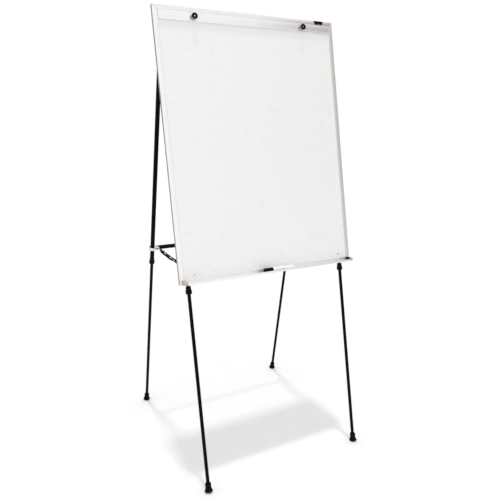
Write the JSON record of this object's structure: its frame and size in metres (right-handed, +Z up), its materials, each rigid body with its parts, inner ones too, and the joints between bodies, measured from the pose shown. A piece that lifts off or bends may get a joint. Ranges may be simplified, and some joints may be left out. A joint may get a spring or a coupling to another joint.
{
  "type": "flipchart easel",
  "caption": "Folding flipchart easel: framed dry-erase board with a pad clamp and marker tray, on telescoping tube legs joined by folding braces.",
  "frame": {"origin": "on the floor, at the middle of the bounding box's base", "axes": "+Z up, the writing surface faces -Y and leans back, X runs across the board from its left to its right as seen from the front"},
  "size_m": [0.686, 0.703, 1.5784],
  "materials": {
    "white_steel": "gloss white enamel on thin steel",
    "core_board": "plain rigid core board",
    "backing": "thin plain sheet",
    "aluminium": "extruded, satin",
    "black_paint": "satin black on steel",
    "black_plastic": "moulded, satin",
    "grey_plastic": "moulded, warm grey",
    "rubber": "moulded, matt",
    "zinc_steel": "bright zinc plate",
    "white_plastic": "moulded, semi-gloss",
    "felt": "dense fibre"
  },
  "bodies": {
    "board": {"writing_surface": "white_steel", "panel_core": "core_board", "panel_backing": "backing", "top_rail": "aluminium", "side_rail_left": "aluminium", "side_rail_right": "aluminium", "rail_catch": "black_plastic", "marker_tray": "aluminium", "tray_end_left": "grey_plastic", "tray_end_right": "grey_plastic", "retainer_bolt_left": "zinc_steel", "hinge_head_left": "black_plastic", "hinge_screw_left": "zinc_steel", "hinge_pin_left": "zinc_steel", "front_upper_tube_left": "black_paint", "front_bracket_left": "black_paint", "bracket_screw_left": "zinc_steel", "brace_front_rivet_left": "zinc_steel", "retainer_bolt_right": "zinc_steel", "hinge_head_right": "black_plastic", "hinge_screw_right": "zinc_steel", "hinge_pin_right": "zinc_steel", "front_upper_tube_right": "black_paint", "front_bracket_right": "black_paint", "bracket_screw_right": "zinc_steel", "brace_front_rivet_right": "zinc_steel"},
    "retainer": {"retainer_bar": "aluminium"},
    "marker": {"marker_barrel": "white_plastic", "marker_tip": "felt"},
    "marker_cap": {"marker_cap": "black_plastic"},
    "knob_left": {"retainer_knob_left": "black_plastic"},
    "front_lower_left": {"front_lower_tube_left": "black_paint", "front_foot_left": "rubber"},
    "rear_lower_left": {"rear_lower_tube_left": "black_paint", "rear_foot_left": "rubber"},
    "front_collar_left": {"front_collar_left": "black_plastic"},
    "rear_collar_left": {"rear_collar_left": "black_plastic"},
    "brace_rear_left": {"brace_rear_link_left": "black_paint", "brace_middle_rivet_left": "zinc_steel"},
    "brace_front_left": {"brace_front_link_left": "black_paint"},
    "knob_right": {"retainer_knob_right": "black_plastic"},
    "front_lower_right": {"front_lower_tube_right": "black_paint", "front_foot_right": "rubber"},
    "rear_lower_right": {"rear_lower_tube_right": "black_paint", "rear_foot_right": "rubber"},
    "front_collar_right": {"front_collar_right": "black_plastic"},
    "rear_collar_right": {"rear_collar_right": "black_plastic"},
    "brace_rear_right": {"brace_rear_link_right": "black_paint", "brace_middle_rivet_right": "zinc_steel"},
    "brace_front_right": {"brace_front_link_right": "black_paint"},
    "rear_legs": {"crossbar": "black_paint", "rear_upper_tube_left": "black_paint", "rear_clip_left": "zinc_steel", "clip_rivet_left": "zinc_steel", "brace_rear_rivet_left": "zinc_steel", "rear_upper_tube_right": "black_paint", "rear_clip_right": "zinc_steel", "clip_rivet_right": "zinc_steel", "brace_rear_rivet_right": "zinc_steel"}
  },
  "joints": [
    {"name": "rear_fold", "type": "hinge", "parent": "board", "child": "rear_legs", "pos_m": [0, -0.00499, 1.5317], "axis": [-1, 0, 0], "range_deg": [0, 23.95]},
    {"name": "retainer_slide", "type": "slide", "parent": "board", "child": "retainer", "axis": [0, -0.9806, 0.1959], "range_m": [0, 0.005]},
    {"name": "brace_rear_turn_left", "type": "hinge", "parent": "rear_legs", "child": "brace_rear_left", "pos_m": [-0.28935, 0.16008, 0.73686], "axis": [-1, 0, 0], "range_deg": [0, 75.54]},
    {"name": "brace_front_turn_left", "type": "hinge", "parent": "board", "child": "brace_front_left", "pos_m": [-0.2873, -0.18796, 0.73083], "axis": [1, 0, 0], "range_deg": [0, 77.34]},
    {"name": "front_leg_slide_left", "type": "slide", "parent": "board", "child": "front_lower_left", "axis": [0, 0.1959, 0.9806], "range_m": [0, 0.61]},
    {"name": "rear_leg_slide_left", "type": "slide", "parent": "rear_legs", "child": "rear_lower_left", "axis": [0.0171, -0.219, 0.9756], "range_m": [0, 0.61]},
    {"name": "front_collar_turn_left", "type": "hinge", "parent": "board", "child": "front_collar_left", "pos_m": [-0.3085, -0.20364, 0.67533], "axis": [0, 0.1959, 0.9806], "range_deg": [0, 60]},
    {"name": "rear_collar_turn_left", "type": "hinge", "parent": "rear_legs", "child": "rear_collar_left", "pos_m": [-0.31606, 0.18522, 0.68421], "axis": [0.0171, -0.219, 0.9756], "range_deg": [0, 60]},
    {"name": "knob_turn_left", "type": "hinge", "parent": "board", "child": "knob_left", "pos_m": [-0.207, -0.05994, 1.55013], "axis": [0, -0.9806, 0.1959], "continuous": true},
    {"name": "brace_rear_turn_right", "type": "hinge", "parent": "rear_legs", "child": "brace_rear_right", "pos_m": [0.28935, 0.16008, 0.73686], "axis": [-1, 0, 0], "range_deg": [0, 75.54]},
    {"name": "brace_front_turn_right", "type": "hinge", "parent": "board", "child": "brace_front_right", "pos_m": [0.2873, -0.18796, 0.73083], "axis": [1, 0, 0], "range_deg": [0, 77.34]},
    {"name": "front_leg_slide_right", "type": "slide", "parent": "board", "child": "front_lower_right", "axis": [0, 0.1959, 0.9806], "range_m": [0, 0.61]},
    {"name": "rear_leg_slide_right", "type": "slide", "parent": "rear_legs", "child": "rear_lower_right", "axis": [-0.0171, -0.219, 0.9756], "range_m": [0, 0.61]},
    {"name": "front_collar_turn_right", "type": "hinge", "parent": "board", "child": "front_collar_right", "pos_m": [0.3085, -0.20364, 0.67533], "axis": [0, 0.1959, 0.9806], "range_deg": [0, 60]},
    {"name": "rear_collar_turn_right", "type": "hinge", "parent": "rear_legs", "child": "rear_collar_right", "pos_m": [0.31606, 0.18522, 0.68421], "axis": [-0.0171, -0.219, 0.9756], "range_deg": [0, 60]},
    {"name": "knob_turn_right", "type": "hinge", "parent": "board", "child": "knob_right", "pos_m": [0.207, -0.05994, 1.55013], "axis": [0, -0.9806, 0.1959], "continuous": true},
    {"name": "marker_lift", "type": "slide", "parent": "board", "child": "marker", "axis": [0, 0.1959, 0.9806], "range_m": [0, 0.15]},
    {"name": "marker_cap_pull", "type": "slide", "parent": "marker", "child": "marker_cap", "axis": [-1, 0, 0], "range_m": [0, 0.05]}
  ],
  "couplings": [
    {"joint": "brace_rear_turn_left", "follows": "rear_fold", "ratio": 3.1537},
    {"joint": "brace_front_turn_left", "follows": "rear_fold", "ratio": 3.2287},
    {"joint": "brace_rear_turn_right", "follows": "rear_fold", "ratio": 3.1537},
    {"joint": "brace_front_turn_right", "follows": "rear_fold", "ratio": 3.2287}
  ]
}
